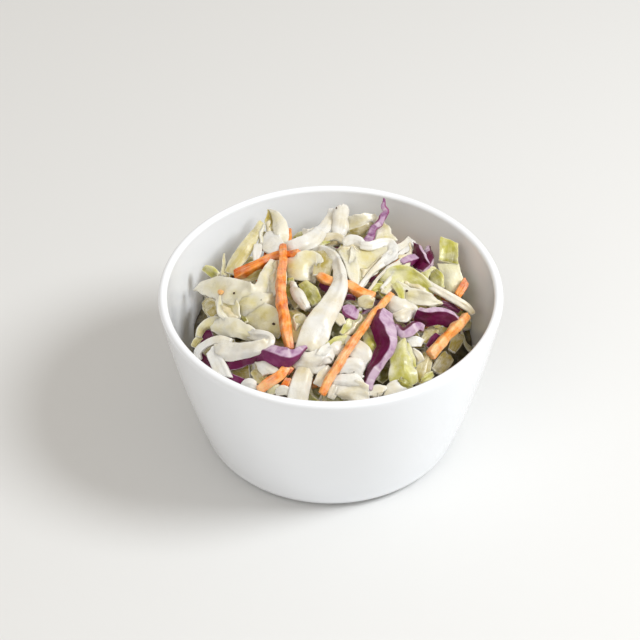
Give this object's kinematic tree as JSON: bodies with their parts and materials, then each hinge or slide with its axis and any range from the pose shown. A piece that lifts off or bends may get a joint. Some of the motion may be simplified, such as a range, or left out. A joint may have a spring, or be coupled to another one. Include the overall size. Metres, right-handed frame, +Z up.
{
  "type": "coleslaw in a cup",
  "caption": "Round tapered white porcelain cup, filled with a loose mound of creamy shredded cabbage and carrot salad.",
  "frame": {"origin": "centre of the cup's foot, on the surface that it stands on", "axes": "+Z up along the cup's axis; +X to the right and +Y away from a viewer standing in front of the cup"},
  "size_m": [0.112, 0.112, 0.0585],
  "materials": {
    "porcelain": "glossy white glaze",
    "white_cabbage": "wet shredded cabbage in dressing",
    "green_cabbage": "wet green leaf in dressing",
    "red_cabbage": "wet purple leaf with a paler cut face",
    "carrot": "wet shredded carrot",
    "dressing": "thin creamy dressing",
    "pepper": "coarse ground pepper"
  },
  "bodies": {
    "root": {"cup": "porcelain", "coleslaw": "white_cabbage"}
  },
  "joints": []
}
